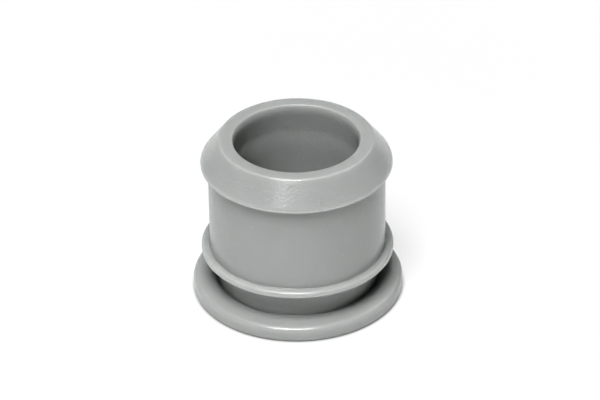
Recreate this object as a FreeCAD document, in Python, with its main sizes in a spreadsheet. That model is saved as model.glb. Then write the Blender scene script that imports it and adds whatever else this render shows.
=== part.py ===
# Hot tub hose adapter: one injection moulding in light grey plastic.
# Millimetres, +Z up. The origin is on the axis, in the plane of the foot flange's underside.
# From the bottom up: foot flange, seal channel, snap bead, barrel, snap collar with a bevelled lead-in, and rim.
# The bore runs right through: a flared mouth, a straight socket, a soft step, then a slightly drafted wall to the foot.
import FreeCAD, Part
import Sketcher
import os
import math

App = FreeCAD
doc = App.newDocument("hose_adapter")

# ---------------------------------------------------------------- driving dimensions
SIZES = [
    # alias,                value,   what it is
    ("overall_height",      36.95, "foot flange underside to rim"),
    ("flange_radius",       22.75, "foot flange, outer radius"),
    ("flange_thickness",     3.27, "foot flange, underside to top face"),
    ("channel_radius",      17.55, "floor of the seal channel"),
    ("channel_width",        6.60, "seal channel, flange top to bead underside"),
    ("bead_radius",         20.75, "snap bead, outer radius"),
    ("bead_width",           1.25, "snap bead, along the axis"),
    ("barrel_radius",       19.00, "barrel that the hose or cuff sits on"),
    ("collar_underside",    30.97, "height of the snap collar's lower face"),
    ("collar_land",          0.84, "upright band on the collar, below the bevel"),
    ("collar_radius",       20.50, "snap collar, outer radius"),
    ("rim_radius",          16.52, "outer edge of the flat rim, where the bevel starts"),
    ("lip_radius",          13.70, "lip of the bore, where the flared mouth starts"),
    ("flare_radius",        13.36, "foot of the steeper part of the flare"),
    ("flare_depth",          0.64, "depth of that foot below the rim"),
    ("socket_radius",       13.21, "straight socket below the flare"),
    ("lead_in_depth",        1.70, "depth below the rim where the flare meets the socket"),
    ("socket_depth",         6.10, "lower end of the socket, measured from the rim"),
    ("step_length",          3.10, "soft step from the socket to the bore, along the axis"),
    ("bore_radius",         12.86, "bore just under that step"),
    ("exit_radius",         12.66, "bore at the underside"),
    ("lip_fillet",           0.25, "rounding of the lip"),
    ("flare_fillet",         3.20, "rounding inside the flare"),
    ("lead_in_fillet",       7.00, "rounding from the flare to the socket"),
    ("rim_fillet",           0.60, "rounding from rim to bevel"),
    ("bevel_fillet",         1.40, "rounding from bevel to collar land"),
    ("collar_edge_fillet",   0.20, "lower edge of the collar"),
    ("bead_top_fillet",      0.50, "upper edge of the bead"),
    ("bead_edge_fillet",     0.15, "lower edge of the bead"),
    ("flange_top_fillet",    1.10, "upper edge of the foot flange"),
    ("flange_foot_fillet",   0.60, "lower edge of the foot flange"),
    ("root_fillet",          0.25, "inside corners of the seal channel and under the collar"),
    ("step_top_fillet",     10.00, "rounding where the socket runs into the step"),
    ("step_foot_fillet",    30.00, "rounding where the step runs into the bore"),
    ("exit_chamfer",         0.60, "lower end of the bore"),
]
sheet = doc.addObject("Spreadsheet::Sheet", "Sizes")
for row, (alias, value, note) in enumerate(SIZES, start=1):
    sheet.set("A%d" % row, alias)
    sheet.set("B%d" % row, "%g" % value)
    sheet.set("C%d" % row, note)
    sheet.setAlias("B%d" % row, alias)
doc.recompute()

# heights that follow from the driving ones
DERIVED = [
    ("bead_underside", "=flange_thickness + channel_width"),
    ("bead_top",       "=flange_thickness + channel_width + bead_width"),
    ("land_top",       "=collar_underside + collar_land"),
    ("flare_foot",     "=overall_height - flare_depth"),
    ("lead_in_foot",   "=overall_height - lead_in_depth"),
    ("socket_floor",   "=overall_height - socket_depth"),
    ("step_floor",     "=overall_height - socket_depth - step_length"),
]
for row, (alias, formula) in enumerate(DERIVED, start=len(SIZES) + 2):
    sheet.set("A%d" % row, alias)
    sheet.set("B%d" % row, formula)
    sheet.setAlias("B%d" % row, alias)
doc.recompute()


def size(alias):
    value = sheet.get(alias)
    return float(getattr(value, "Value", value))


# ---------------------------------------------------------------- helpers
body = doc.addObject("PartDesign::Body", "Adapter")
body.Label = "adapter"


def origin_item(role):
    for item in body.Origin.OriginFeatures:
        if item.Role == role:
            return item
    raise RuntimeError("no origin item " + role)


def half_section(name, corners):
    """Closed outline in the XZ plane. Each corner is (radius, height), both names of
    sheet cells, or None for zero. The first corner is where the outline closes."""
    sketch = body.newObject("Sketcher::SketchObject", name)
    sketch.AttachmentSupport = [(origin_item("XZ_Plane"), "")]
    sketch.MapMode = "FlatFace"
    where = [App.Vector(size(r) if r else 0.0, size(z) if z else 0.0, 0) for r, z in corners]
    count = len(corners)
    for i in range(count):
        sketch.addGeometry(Part.LineSegment(where[i], where[(i + 1) % count]), False)
    for i in range(count):
        sketch.addConstraint(Sketcher.Constraint("Coincident", i, 2, (i + 1) % count, 1))
    for i in range(count):
        r, z = corners[i]
        before = corners[i - 1] if i else (object(), object())
        if r == before[0]:
            sketch.addConstraint(Sketcher.Constraint("Vertical", i - 1))
        elif r is None:
            sketch.addConstraint(Sketcher.Constraint("PointOnObject", i, 1, -2))
        else:
            number = sketch.addConstraint(Sketcher.Constraint("DistanceX", -1, 1, i, 1, where[i].x))
            sketch.setExpression("Constraints[%d]" % number, "Sizes." + r)
        if z == before[1]:
            sketch.addConstraint(Sketcher.Constraint("Horizontal", i - 1))
        elif z is None:
            sketch.addConstraint(Sketcher.Constraint("PointOnObject", i, 1, -1))
        else:
            number = sketch.addConstraint(Sketcher.Constraint("DistanceY", -1, 1, i, 1, where[i].y))
            sketch.setExpression("Constraints[%d]" % number, "Sizes." + z)
    doc.recompute()
    if sketch.solve() != 0:
        raise RuntimeError(name + " does not solve")
    return sketch


def turn(kind, name, sketch, grows):
    """Revolves a half section about the axis of the fitting, and checks that it
    really added or removed material."""
    base = body.Tip
    before = base.Shape.Volume if base else 0.0
    feature = body.newObject(kind, name)
    feature.Profile = sketch
    feature.ReferenceAxis = (origin_item("Z_Axis"), [""])
    feature.Angle = 360.0
    sketch.Visibility = False
    doc.recompute()
    change = feature.Shape.Volume - before
    if (change <= 0) if grows else (change >= 0):
        raise RuntimeError("%s changed the volume by %.2f" % (name, change))
    print("%-14s volume change %+10.2f" % (name, change))
    return feature


def rings(shape, radius, height):
    """Names of the circular edges at one radius and height."""
    found = []
    for number, edge in enumerate(shape.Edges, start=1):
        curve = edge.Curve
        if isinstance(curve, Part.Circle) and abs(curve.Radius - radius) < 1e-4 \
                and abs(curve.Center.z - height) < 1e-4:
            found.append("Edge%d" % number)
    if not found:
        raise RuntimeError("no edge at radius %.3f, height %.3f" % (radius, height))
    return found


def soften(kind, name, where, cell):
    """Fillet or chamfer on the rings listed as (radius, height)."""
    base = body.Tip
    names = []
    for radius, height in where:
        names += rings(base.Shape, radius, height)
    before = base.Shape.Volume
    feature = body.newObject(kind, name)
    feature.Base = (base, names)
    if kind.endswith("Fillet"):
        feature.Radius = size(cell)
        feature.setExpression("Radius", "Sizes." + cell)
    else:
        feature.Size = size(cell)
        feature.setExpression("Size", "Sizes." + cell)
    doc.recompute()
    print("%-14s volume change %+10.3f" % (name, feature.Shape.Volume - before))
    if abs(feature.Shape.Volume - before) < 1e-6:
        raise RuntimeError(name + " changed nothing")
    return feature


# ---------------------------------------------------------------- the moulding
# Outer form: foot flange, barrel, collar and bevel, as a solid of revolution.
outer = half_section("OuterSection", [
    (None, None),
    ("flange_radius", None),
    ("flange_radius", "flange_thickness"),
    ("barrel_radius", "flange_thickness"),
    ("barrel_radius", "collar_underside"),
    ("collar_radius", "collar_underside"),
    ("collar_radius", "land_top"),
    ("rim_radius", "overall_height"),
    (None, "overall_height"),
])
turn("PartDesign::Revolution", "OuterForm", outer, True)

# Thin bead round the barrel. It reaches in past the barrel wall, so that the two are one.
bead = half_section("BeadSection", [
    ("socket_radius", "bead_underside"),
    ("bead_radius", "bead_underside"),
    ("bead_radius", "bead_top"),
    ("socket_radius", "bead_top"),
])
turn("PartDesign::Revolution", "SnapBead", bead, True)

# Seal channel between bead and flange, deeper than the barrel wall.
channel = half_section("ChannelSection", [
    ("channel_radius", "flange_thickness"),
    ("flange_radius", "flange_thickness"),
    ("flange_radius", "bead_underside"),
    ("channel_radius", "bead_underside"),
])
turn("PartDesign::Groove", "SealChannel", channel, False)

# Through bore: a softly flared mouth, a straight socket, a soft step in, then a drafted wall to the underside.
bore = half_section("BoreSection", [
    (None, None),
    ("exit_radius", None),
    ("bore_radius", "step_floor"),
    ("socket_radius", "socket_floor"),
    ("socket_radius", "lead_in_foot"),
    ("flare_radius", "flare_foot"),
    ("lip_radius", "overall_height"),
    (None, "overall_height"),
])
turn("PartDesign::Groove", "ThroughBore", bore, False)

# Rounded edges, from the rim down.
soften("PartDesign::Fillet", "LipRound",
       [(size("lip_radius"), size("overall_height"))], "lip_fillet")
soften("PartDesign::Fillet", "FlareRound",
       [(size("flare_radius"), size("flare_foot"))], "flare_fillet")
soften("PartDesign::Fillet", "LeadInRound",
       [(size("socket_radius"), size("lead_in_foot"))], "lead_in_fillet")
soften("PartDesign::Fillet", "RimRound",
       [(size("rim_radius"), size("overall_height"))], "rim_fillet")
soften("PartDesign::Fillet", "BevelRound",
       [(size("collar_radius"), size("land_top"))], "bevel_fillet")
soften("PartDesign::Fillet", "CollarEdge",
       [(size("collar_radius"), size("collar_underside"))], "collar_edge_fillet")
soften("PartDesign::Fillet", "BeadTopRound",
       [(size("bead_radius"), size("bead_top"))], "bead_top_fillet")
soften("PartDesign::Fillet", "BeadEdge",
       [(size("bead_radius"), size("bead_underside"))], "bead_edge_fillet")
soften("PartDesign::Fillet", "FlangeTopRound",
       [(size("flange_radius"), size("flange_thickness"))], "flange_top_fillet")
soften("PartDesign::Fillet", "FlangeFootRound",
       [(size("flange_radius"), 0.0)], "flange_foot_fillet")
soften("PartDesign::Fillet", "RootRounds",
       [(size("barrel_radius"), size("collar_underside")),
        (size("barrel_radius"), size("bead_top")),
        (size("channel_radius"), size("bead_underside")),
        (size("channel_radius"), size("flange_thickness"))], "root_fillet")
soften("PartDesign::Fillet", "StepTopRound",
       [(size("socket_radius"), size("socket_floor"))], "step_top_fillet")
soften("PartDesign::Fillet", "StepFootRound",
       [(size("bore_radius"), size("step_floor"))], "step_foot_fillet")
soften("PartDesign::Chamfer", "BoreExit",
       [(size("exit_radius"), 0.0)], "exit_chamfer")
doc.recompute()

# ---------------------------------------------------------------- checks before writing
for item in doc.Objects:
    state = list(item.State)
    if "Invalid" in state or "Error" in state:
        raise RuntimeError("%s is %s" % (item.Name, state))
for item in doc.Objects:
    if item.TypeId == "Sketcher::SketchObject" and item.FullyConstrained is False:
        raise RuntimeError(item.Name + " is not fully constrained")

shape = body.Shape
if shape.isNull() or not shape.isValid() or len(shape.Solids) != 1:
    raise RuntimeError("the adapter's shape is not one valid solid")
box = shape.optimalBoundingBox(True, False)
for found, meant in ((box.ZMin, 0.0), (box.ZMax, size("overall_height")),
                     (box.XMax, size("flange_radius")), (box.YMax, size("flange_radius"))):
    if abs(found - meant) > 0.01:
        raise RuntimeError("box is %.3f where %.3f is meant" % (found, meant))

taper = math.degrees(math.atan2(size("bore_radius") - size("exit_radius"), size("step_floor")))
print("volume %.1f mm3, box %.2f x %.2f x %.2f mm, bore draft %.2f degrees, %d faces"
      % (shape.Volume, box.XLength, box.YLength, box.ZLength, taper, len(shape.Faces)))

os.makedirs("parts", exist_ok=True)
shape.exportStep(os.path.join("parts", body.Label + ".step"))
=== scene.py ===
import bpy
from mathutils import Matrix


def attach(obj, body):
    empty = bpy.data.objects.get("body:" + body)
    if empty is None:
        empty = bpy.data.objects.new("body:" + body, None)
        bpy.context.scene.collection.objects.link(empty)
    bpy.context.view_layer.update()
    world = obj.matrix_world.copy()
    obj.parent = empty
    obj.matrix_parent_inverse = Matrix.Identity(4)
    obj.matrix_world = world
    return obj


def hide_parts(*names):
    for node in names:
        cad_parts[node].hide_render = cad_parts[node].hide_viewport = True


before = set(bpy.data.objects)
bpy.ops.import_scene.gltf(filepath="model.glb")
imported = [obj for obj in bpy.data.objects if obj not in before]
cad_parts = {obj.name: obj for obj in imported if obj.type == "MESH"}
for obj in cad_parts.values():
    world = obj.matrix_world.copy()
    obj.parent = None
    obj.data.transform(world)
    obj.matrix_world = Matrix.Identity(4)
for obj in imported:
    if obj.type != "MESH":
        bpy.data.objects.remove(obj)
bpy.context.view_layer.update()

import math

import bpy
from mathutils import Matrix, Vector

scene = bpy.context.scene

# ------------------------------------------------------------------ the moulding's section
# The same figures as the construction model, in millimetres: radius from the axis, height above the foot.
OVERALL_HEIGHT = 36.95
FLANGE_RADIUS, FLANGE_THICKNESS = 22.75, 3.27
CHANNEL_RADIUS, CHANNEL_WIDTH = 17.55, 6.60
BEAD_RADIUS, BEAD_WIDTH = 20.75, 1.25
BARREL_RADIUS = 19.00
COLLAR_UNDERSIDE, COLLAR_LAND, COLLAR_RADIUS = 30.97, 0.84, 20.50
RIM_RADIUS = 16.52
LIP_RADIUS, FLARE_RADIUS, FLARE_DEPTH = 13.70, 13.36, 0.64
SOCKET_RADIUS, LEAD_IN_DEPTH, SOCKET_DEPTH = 13.21, 1.70, 6.10
STEP_LENGTH, BORE_RADIUS, EXIT_RADIUS, EXIT_CHAMFER = 3.10, 12.86, 12.66, 0.60

BEAD_UNDERSIDE = FLANGE_THICKNESS + CHANNEL_WIDTH
BEAD_TOP = BEAD_UNDERSIDE + BEAD_WIDTH
LAND_TOP = COLLAR_UNDERSIDE + COLLAR_LAND

# corner radius, corner height, rounding, segments in the rounding
SECTION = [
    (EXIT_RADIUS + EXIT_CHAMFER, 0.0, 0.0, 1),
    (FLANGE_RADIUS, 0.0, 0.60, 10),
    (FLANGE_RADIUS, FLANGE_THICKNESS, 1.10, 16),
    (CHANNEL_RADIUS, FLANGE_THICKNESS, 0.25, 7),
    (CHANNEL_RADIUS, BEAD_UNDERSIDE, 0.25, 7),
    (BEAD_RADIUS, BEAD_UNDERSIDE, 0.15, 8),
    (BEAD_RADIUS, BEAD_TOP, 0.50, 12),
    (BARREL_RADIUS, BEAD_TOP, 0.25, 7),
    (BARREL_RADIUS, COLLAR_UNDERSIDE, 0.25, 7),
    (COLLAR_RADIUS, COLLAR_UNDERSIDE, 0.20, 7),
    (COLLAR_RADIUS, LAND_TOP, 1.40, 14),
    (RIM_RADIUS, OVERALL_HEIGHT, 0.60, 13),
    (LIP_RADIUS, OVERALL_HEIGHT, 0.25, 10),
    (FLARE_RADIUS, OVERALL_HEIGHT - FLARE_DEPTH, 3.2, 9),
    (SOCKET_RADIUS, OVERALL_HEIGHT - LEAD_IN_DEPTH, 7.0, 7),
    (SOCKET_RADIUS, OVERALL_HEIGHT - SOCKET_DEPTH, 10.0, 7),
    (BORE_RADIUS, OVERALL_HEIGHT - SOCKET_DEPTH - STEP_LENGTH, 30.0, 9),
    (EXIT_RADIUS, EXIT_CHAMFER, 0.0, 1),
]
AROUND = 360          # steps round the axis
LONGEST = 1.1         # longest step along a straight run of the section


def rounded(before, corner, after, radius, count):
    """Points of the arc that rounds one corner, from the side of `before` to the side of `after`."""
    b, c, a = (Vector(p) for p in (before, corner, after))
    u, v = (b - c).normalized(), (a - c).normalized()
    half = u.angle(v) / 2
    start, end = c + u * (radius / math.tan(half)), c + v * (radius / math.tan(half))
    centre = c + (u + v).normalized() * (radius / math.sin(half))
    s, e = start - centre, end - centre
    sweep = (math.atan2(e.y, e.x) - math.atan2(s.y, s.x) + math.pi) % (2 * math.pi) - math.pi
    return [centre + Matrix.Rotation(sweep * i / (count - 1), 2) @ s for i in range(count)]


def outline():
    """The closed section, with its roundings, as points no further apart than LONGEST."""
    corners = []
    for i, (r, z, rounding, count) in enumerate(SECTION):
        if rounding:
            corners += rounded(SECTION[i - 1][:2], (r, z), SECTION[(i + 1) % len(SECTION)][:2], rounding, count)
        else:
            corners.append(Vector((r, z)))
    points = []
    for i, p in enumerate(corners):
        q = corners[(i + 1) % len(corners)]
        steps = max(1, math.ceil((q - p).length / LONGEST))
        points += [p.lerp(q, k / steps) for k in range(steps)]
    return points


def turned(name, points):
    """A closed ring mesh: the section carried once round the Z axis, in metres."""
    count = len(points)
    verts, faces = [], []
    for step in range(AROUND):
        a = 2 * math.pi * step / AROUND
        verts += [(p.x * math.cos(a) / 1000, p.x * math.sin(a) / 1000, p.y / 1000) for p in points]
    for step in range(AROUND):
        here, there = step * count, (step + 1) % AROUND * count
        for i in range(count):
            j = (i + 1) % count
            faces.append((here + i, there + i, there + j, here + j))
    mesh = bpy.data.meshes.new(name)
    mesh.from_pydata(verts, [], faces)
    mesh.update()
    mesh.polygons.foreach_set("use_smooth", [True] * len(mesh.polygons))
    mesh.set_sharp_from_angle(angle=math.radians(30))
    piece = bpy.data.objects.new(name, mesh)
    scene.collection.objects.link(piece)
    return piece


# ------------------------------------------------------------------ node helpers
def new_material(name):
    material = bpy.data.materials.new(name)
    material.use_nodes = True
    material.node_tree.nodes.clear()
    return material, material.node_tree


def node(tree, kind, inputs=None, **settings):
    made = tree.nodes.new(kind)
    for key, value in settings.items():
        setattr(made, key, value)
    for key, value in (inputs or {}).items():
        if isinstance(value, bpy.types.NodeSocket):
            tree.links.new(value, made.inputs[key])
        else:
            made.inputs[key].default_value = value
    return made


def maths(tree, operation, *values, clamp=False):
    made = node(tree, "ShaderNodeMath", operation=operation, use_clamp=clamp)
    for i, value in enumerate(values):
        if isinstance(value, bpy.types.NodeSocket):
            tree.links.new(value, made.inputs[i])
        else:
            made.inputs[i].default_value = value
    return made.outputs[0]


def ramp(tree, value, low, high, out_low, out_high, interpolation="SMOOTHSTEP"):
    made = node(tree, "ShaderNodeMapRange", {"Value": value, "From Min": low, "From Max": high,
                                             "To Min": out_low, "To Max": out_high},
                interpolation_type=interpolation)
    return made.outputs["Result"]


# ------------------------------------------------------------------ grey moulded plastic
def grey_plastic():
    material, tree = new_material("grey_plastic")
    place = node(tree, "ShaderNodeTexCoord").outputs["Object"]

    # fine spark-eroded grain of the mould, about a tenth of a millimetre
    grain = node(tree, "ShaderNodeTexNoise", {"Vector": place, "Scale": 7000.0, "Detail": 2.0, "Roughness": 0.55})
    # coarser pits among it, some tenths of a millimetre, which break up the sharpest reflections
    pits = node(tree, "ShaderNodeTexNoise", {"Vector": place, "Scale": 1900.0, "Detail": 0.0, "Roughness": 0.5})
    # slow unevenness of the surface, some millimetres long
    swell = node(tree, "ShaderNodeTexNoise", {"Vector": place, "Scale": 160.0, "Detail": 1.0, "Roughness": 0.4})
    # cloudiness of the pigment
    cloud = node(tree, "ShaderNodeTexNoise", {"Vector": place, "Scale": 90.0, "Detail": 3.0, "Roughness": 0.5})
    # sparse specks of dust and pigment
    speck = node(tree, "ShaderNodeTexVoronoi", {"Vector": place, "Scale": 420.0, "Randomness": 1.0}, feature="F1")
    chosen = node(tree, "ShaderNodeSeparateColor", {"Color": speck.outputs["Color"]})

    rare = maths(tree, "GREATER_THAN", chosen.outputs["Red"], 0.93)
    spot = ramp(tree, speck.outputs["Distance"], 0.05, 0.11, 1.0, 0.0)
    specks = maths(tree, "MULTIPLY", rare, spot)

    light = color_mix(tree, cloud.outputs["Fac"], (0.392, 0.404, 0.396, 1.0), (0.424, 0.437, 0.428, 1.0))
    tint = color_mix(tree, maths(tree, "MULTIPLY", specks, 0.35), light, (0.60, 0.61, 0.60, 1.0))

    gloss = ramp(tree, grain.outputs["Fac"], 0.3, 0.7, 0.19, 0.25, "LINEAR")
    gloss = maths(tree, "ADD", gloss, ramp(tree, cloud.outputs["Fac"], 0.3, 0.7, -0.02, 0.02, "LINEAR"))

    fine = node(tree, "ShaderNodeBump", {"Strength": 0.25, "Distance": 0.00018, "Height": pits.outputs["Fac"]})
    slow = node(tree, "ShaderNodeBump", {"Strength": 0.25, "Distance": 0.00008, "Height": swell.outputs["Fac"],
                                         "Normal": fine.outputs["Normal"]})

    surface = node(tree, "ShaderNodeBsdfPrincipled", {
        "Base Color": tint, "Roughness": gloss, "Normal": slow.outputs["Normal"],
        "IOR": 1.58, "Specular IOR Level": 0.5,
        "Subsurface Weight": 1.0, "Subsurface Radius": (1.0, 1.0, 1.0), "Subsurface Scale": 0.0035})
    node(tree, "ShaderNodeOutputMaterial", {"Surface": surface.outputs["BSDF"]})
    return material


def color_mix(tree, factor, a, b):
    made = node(tree, "ShaderNodeMix", data_type="RGBA")
    for key, value in (("Factor_Float", factor), ("A_Color", a), ("B_Color", b)):
        socket = next(s for s in made.inputs if s.identifier == key)
        if isinstance(value, bpy.types.NodeSocket):
            tree.links.new(value, socket)
        else:
            socket.default_value = value
    return next(s for s in made.outputs if s.identifier == "Result_Color")


moulding = turned("adapter_moulding", outline())
moulding.data.materials.append(grey_plastic())
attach(moulding, "root")
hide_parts("adapter")

# ------------------------------------------------------------------ pale table and backdrop
# FLOOR_NEAR_PAINTED_POOL adds a painted pool of light on the floor round the foot, which shines onto the barrel
# and flange
FLOOR_GLOW, FLOOR_NEAR_PAINTED_POOL, FLOOR_MID, FLOOR_FAR, FLOOR_PALE = 0.54, 0.055, 0.11, 0.44, 0.375


def floor():
    mesh = bpy.data.meshes.new("table_top")
    s = 4.0
    mesh.from_pydata([(-s, -s, 0), (s, -s, 0), (s, s, 0), (-s, s, 0)], [], [(0, 1, 2, 3)])
    made = bpy.data.objects.new("table_top", mesh)
    made.location.z = -0.00002
    scene.collection.objects.link(made)
    material, tree = new_material("table_white")
    place = node(tree, "ShaderNodeNewGeometry").outputs["Position"]
    xyz = node(tree, "ShaderNodeSeparateXYZ", {"Vector": place})
    out = maths(tree, "SQRT", maths(tree, "ADD", maths(tree, "POWER", xyz.outputs["X"], 2.0),
                                    maths(tree, "POWER", xyz.outputs["Y"], 2.0)))
    # brighter glow within 30 to 48 mm of the axis: a painted pool of light round the foot
    glow_with_painted_pool = ramp(tree, out, 0.0300, 0.0480, FLOOR_GLOW + FLOOR_NEAR_PAINTED_POOL, FLOOR_GLOW)
    # the lamps fade with distance, and the glow makes up for it as far as the wall
    far = maths(tree, "ADD", ramp(tree, out, 0.070, 0.300, 0.0, FLOOR_MID), ramp(tree, out, 0.250, 1.500, 0.0, FLOOR_FAR))
    both = maths(tree, "ADD", glow_with_painted_pool, far)
    # no glow under the fitting, where it would light the bore from below; it fades in across the foot's edge,
    # which paints a thin ring of shade round the foot
    glow = maths(tree, "MULTIPLY", both, ramp(tree, out, 0.0220, 0.0236, 0.0, 1.0))      # none under the fitting
    surface = node(tree, "ShaderNodeBsdfPrincipled", {
        "Base Color": (FLOOR_PALE, FLOOR_PALE, FLOOR_PALE, 1.0), "Roughness": 0.7, "Specular IOR Level": 0.0,
        "Emission Color": (1.0, 1.0, 1.0, 1.0), "Emission Strength": glow})
    node(tree, "ShaderNodeOutputMaterial", {"Surface": surface.outputs["BSDF"]})
    mesh.materials.append(material)
    return made


def backdrop():
    """A pale wall all round, far off. Only the camera sees it."""
    mesh = bpy.data.meshes.new("backdrop")
    count, radius, low, high = 64, 2.6, -1.5, 3.0
    verts = [(radius * math.cos(2 * math.pi * i / count), radius * math.sin(2 * math.pi * i / count), z)
             for z in (low, high) for i in range(count)]
    faces = [(i, (i + 1) % count, count + (i + 1) % count, count + i) for i in range(count)]
    mesh.from_pydata(verts, [], faces)
    made = bpy.data.objects.new("backdrop", mesh)
    scene.collection.objects.link(made)
    material, tree = new_material("backdrop_white")
    glow = node(tree, "ShaderNodeEmission", {"Color": (1.0, 1.0, 1.0, 1.0), "Strength": 1.0})
    node(tree, "ShaderNodeOutputMaterial", {"Surface": glow.outputs["Emission"]})
    mesh.materials.append(material)
    for ray in ("diffuse", "glossy", "transmission", "volume_scatter", "shadow"):
        setattr(made, "visible_" + ray, False)
    return made


floor()
backdrop()

# ------------------------------------------------------------------ soft studio light
def softbox(name, azimuth, elevation, distance, width, height, radiance):
    """A rectangular lamp that faces the fitting. Azimuth 0 is on the camera's side, positive towards +X."""
    data = bpy.data.lights.new(name, "AREA")
    data.shape = "RECTANGLE"
    data.size, data.size_y = width, height
    data.energy = radiance * math.pi * width * height
    lamp = bpy.data.objects.new(name, data)
    a, e = math.radians(azimuth), math.radians(elevation)
    aim = Vector((0.0, 0.0, 0.018))
    away = Vector((math.sin(a) * math.cos(e), -math.cos(a) * math.cos(e), math.sin(e)))
    lamp.location = aim + away * distance
    lamp.rotation_euler = (-away).to_track_quat("-Z", "Y").to_euler()
    scene.collection.objects.link(lamp)
    return lamp


softbox("key", -15, 66.5, 1.2, 0.64, 0.60, 15.3)
softbox("strip", -21, 42, 1.2, 0.12, 0.30, 5.0)
softbox("back_fill", 165, 55, 1.3, 1.10, 0.55, 1.6)
softbox("top_fill", -120, 78, 1.3, 0.60, 0.30, 1.2)
softbox("front_low", -16, 17, 1.4, 1.60, 0.60, 0.10)

world = bpy.data.worlds.new("studio")
scene.world = world
world.use_nodes = True
world.node_tree.nodes["Background"].inputs["Color"].default_value = (1.0, 1.0, 1.0, 1.0)
world.node_tree.nodes["Background"].inputs["Strength"].default_value = 0.02

# ------------------------------------------------------------------ camera, from the photograph's perspective
FOCAL_PX, DISTANCE = 3271.5, 694.68
ELEVATION, ROLL, DIP, YAW = (math.radians(v) for v in (31.593, -0.754, -1.088, 0.051))


def camera():
    eye = Vector((0.0, -DISTANCE * math.cos(ELEVATION), DISTANCE * math.sin(ELEVATION) + OVERALL_HEIGHT)) / 1000
    ahead = Vector((0.0, math.cos(ELEVATION), -math.sin(ELEVATION)))
    right = Vector((1.0, 0.0, 0.0))
    up = right.cross(ahead)
    ahead, up = ahead * math.cos(DIP) + up * math.sin(DIP), up * math.cos(DIP) - ahead * math.sin(DIP)
    ahead, right = ahead * math.cos(YAW) + right * math.sin(YAW), right * math.cos(YAW) - ahead * math.sin(YAW)
    right, up = right * math.cos(ROLL) + up * math.sin(ROLL), up * math.cos(ROLL) - right * math.sin(ROLL)
    data = bpy.data.cameras.new("camera")
    data.sensor_width = 36.0
    data.lens = FOCAL_PX * 36.0 / 600.0
    data.clip_start, data.clip_end = 0.05, 20.0
    data.dof.use_dof = False
    made = bpy.data.objects.new("camera", data)
    made.matrix_world = Matrix(((right.x, up.x, -ahead.x, eye.x), (right.y, up.y, -ahead.y, eye.y),
                                (right.z, up.z, -ahead.z, eye.z), (0.0, 0.0, 0.0, 1.0)))
    scene.collection.objects.link(made)
    scene.camera = made


camera()

scene.view_settings.view_transform = "Standard"
scene.view_settings.look = "None"
# the photograph's tone: its blacks are cut off, and its darks are steeper than its lights
scene.view_settings.use_curve_mapping = True
tone = scene.view_settings.curve_mapping
tone.use_clip = False
tone.extend = "EXTRAPOLATED"
curve = tone.curves[3]
for at, to in ((0.01, 0.0), (0.05, 0.0075), (0.10, 0.0347), (0.13, 0.0665), (0.16, 0.1010), (0.20, 0.1500),
               (0.25, 0.2015), (0.40, 0.3523), (0.60, 0.5629), (0.80, 0.7786)):
    curve.points.new(at, to)
tone.update()
